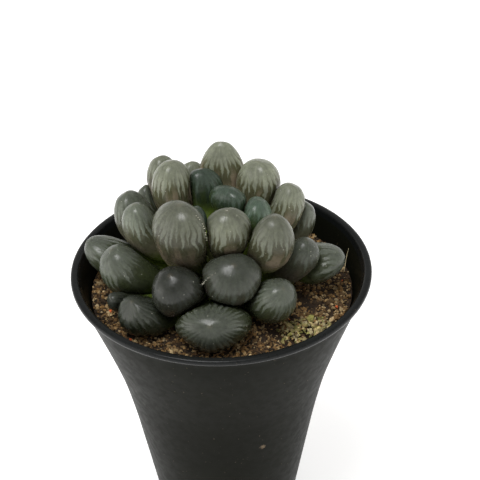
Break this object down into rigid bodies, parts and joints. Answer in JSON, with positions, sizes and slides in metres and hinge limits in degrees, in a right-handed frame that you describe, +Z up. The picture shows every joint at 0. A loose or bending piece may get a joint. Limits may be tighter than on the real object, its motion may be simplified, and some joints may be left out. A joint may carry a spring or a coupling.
{
  "type": "potted haworthia succulent",
  "caption": "Rosette of fat windowed succulent leaves rooted in grit in a flared plastic pot, an ornamental house plant.",
  "frame": {"origin": "middle of the pot's underside, on the ground", "axes": "+Z up through the pot and the plant, -Y towards the front, +X to the right seen from the front"},
  "size_m": [0.08, 0.08, 0.1156],
  "materials": {
    "pot": "satin black moulded plastic",
    "grit": "loose tan grit with a matt surface",
    "crown": "matt green plant stem",
    "leaf": "smooth waxy grey-green leaf skin with clear windows"
  },
  "bodies": {
    "root": {"pot": "pot", "soil": "grit", "crown": "crown", "leaf_01": "leaf", "leaf_02": "leaf", "leaf_03": "leaf", "leaf_04": "leaf", "leaf_05": "leaf", "leaf_06": "leaf", "leaf_07": "leaf", "leaf_08": "leaf", "leaf_09": "leaf", "leaf_10": "leaf", "leaf_11": "leaf", "leaf_12": "leaf", "leaf_13": "leaf", "leaf_14": "leaf", "leaf_15": "leaf", "leaf_16": "leaf", "leaf_17": "leaf", "leaf_18": "leaf", "leaf_19": "leaf", "leaf_20": "leaf", "leaf_21": "leaf", "leaf_22": "leaf", "leaf_23": "leaf", "leaf_24": "leaf", "leaf_25": "leaf", "leaf_26": "leaf", "leaf_27": "leaf", "leaf_28": "leaf", "leaf_29": "leaf", "leaf_30": "leaf", "leaf_31": "leaf", "leaf_32": "leaf", "leaf_33": "leaf", "leaf_34": "leaf"}
  },
  "joints": []
}
